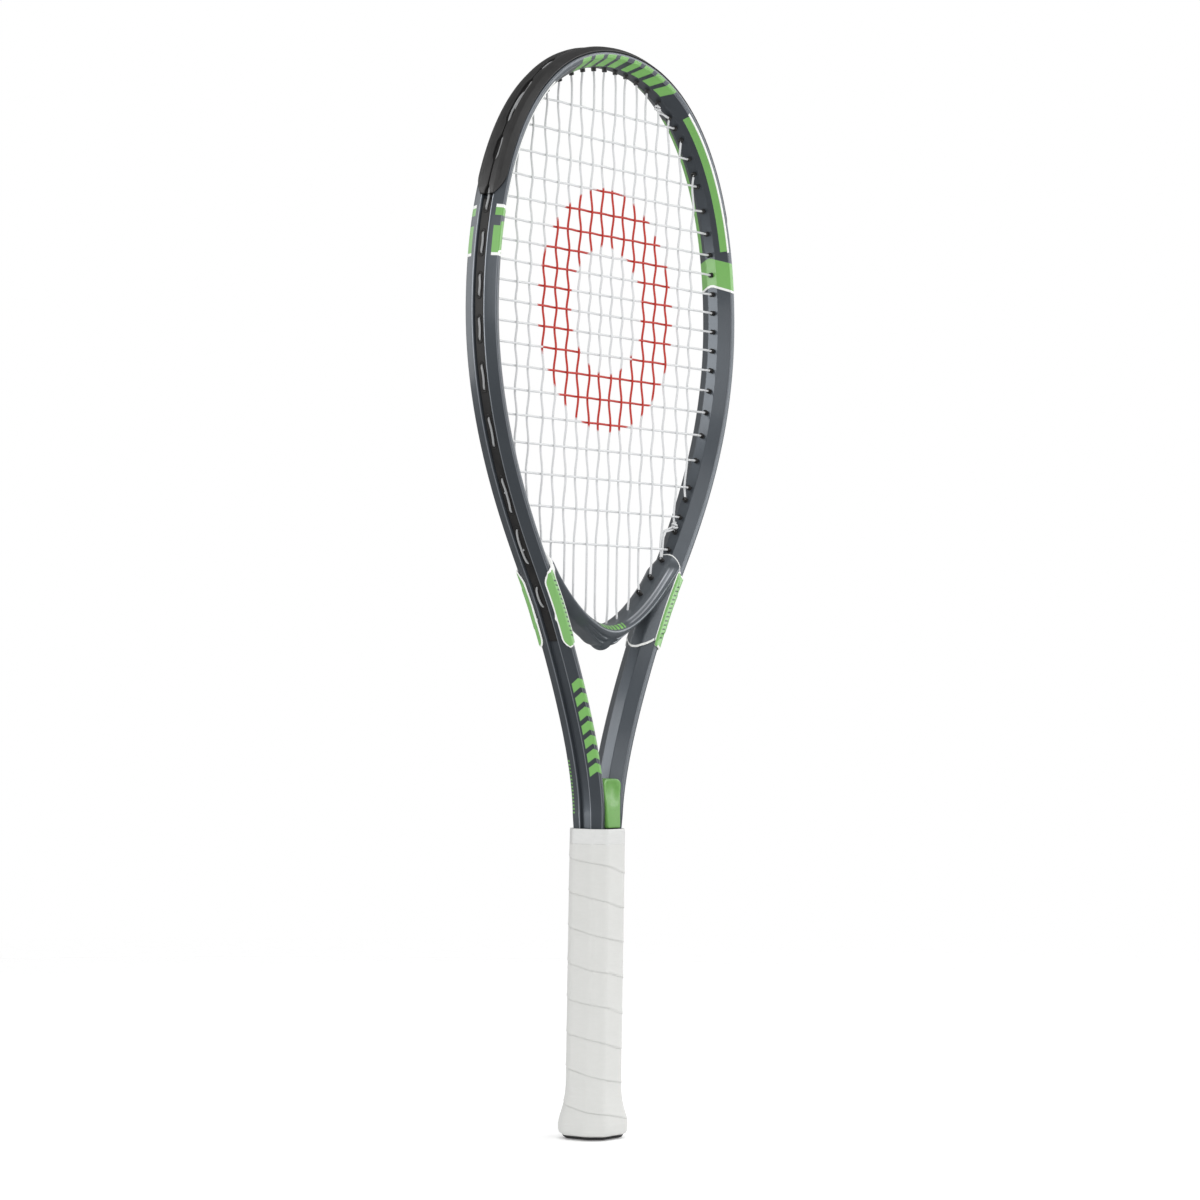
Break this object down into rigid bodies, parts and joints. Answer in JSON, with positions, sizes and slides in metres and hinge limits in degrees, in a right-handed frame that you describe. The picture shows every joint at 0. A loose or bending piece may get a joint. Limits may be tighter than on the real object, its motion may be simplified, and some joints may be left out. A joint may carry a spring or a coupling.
{
  "type": "tennis racket",
  "caption": "Full-size strung tennis racket with an oval head, open throat, plastic throat bridge and a taped eight-sided handle.",
  "frame": {"origin": "middle of the flat end of the butt cap", "axes": "+Z along the racket's axis to the tip, X across the head in the plane of the strings, -Y out of the front of the strings"},
  "size_m": [0.283, 0.0362, 0.6985],
  "materials": {
    "frame_paint": "metallic slate gloss with green and white bands",
    "bridge_plastic": "slate, satin gloss, with green and white edges",
    "grommet_nylon": "moulded black nylon",
    "string": "white synthetic string with a red stencilled ring",
    "wedge_plastic": "green satin plastic",
    "pallet_plastic": "moulded black plastic",
    "steel": "plain steel wire and rivet",
    "butt_plastic": "moulded black plastic",
    "grip": "off-white synthetic leather wrap",
    "finishing_tape": "off-white vinyl tape"
  },
  "bodies": {
    "root": {"frame_tube": "frame_paint", "throat_bridge": "bridge_plastic", "bumper_guard": "grommet_nylon", "grommet_strip_left": "grommet_nylon", "grommet_strip_right": "grommet_nylon", "main_string": "string", "cross_string": "string", "throat_wedge": "wedge_plastic", "handle_half_front": "pallet_plastic", "handle_half_back": "pallet_plastic", "handle_rivet_upper": "steel", "handle_rivet_lower": "steel", "butt_staple_front": "steel", "butt_staple_back": "steel", "butt_cap": "butt_plastic", "butt_cap_door": "butt_plastic", "grip_tape": "grip", "finishing_tape": "finishing_tape"}
  },
  "joints": []
}
